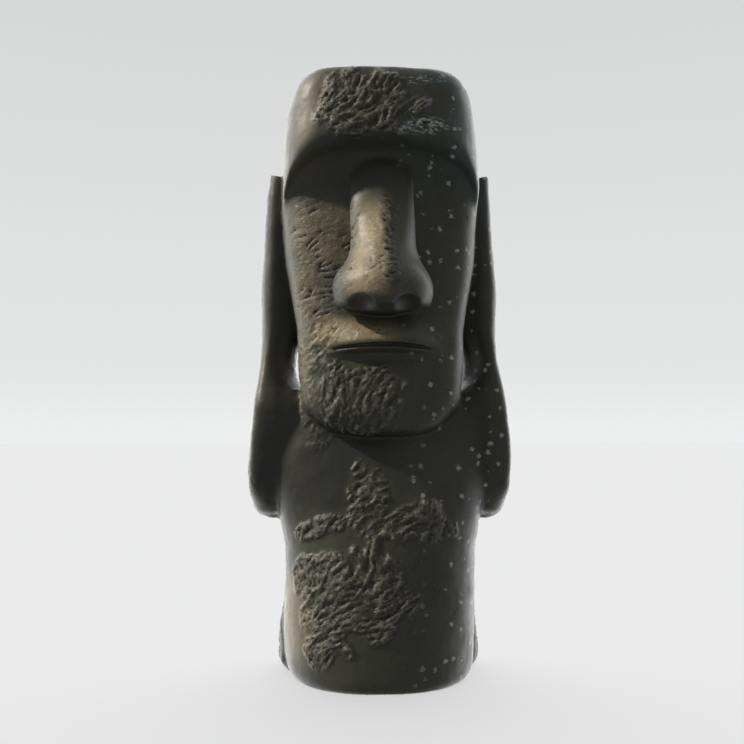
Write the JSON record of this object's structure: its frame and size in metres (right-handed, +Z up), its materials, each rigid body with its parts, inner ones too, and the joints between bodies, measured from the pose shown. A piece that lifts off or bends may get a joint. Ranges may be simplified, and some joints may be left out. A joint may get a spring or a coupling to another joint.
{
  "type": "stone statue",
  "caption": "Standing monolith of carved tuff: a tall head with an arched brow, long nose and long ears, whose lobes run down into the arms of a trunk cut level at the hips.",
  "frame": {"origin": "on the ground, under the middle of the bounding box", "axes": "+Z up, the statue faces -Y, +X is to the right for a viewer who faces it"},
  "size_m": [1.7798, 1.2791, 4.05],
  "materials": {
    "tuff": "weathered"
  },
  "bodies": {
    "root": {"statue": "tuff"}
  },
  "joints": []
}
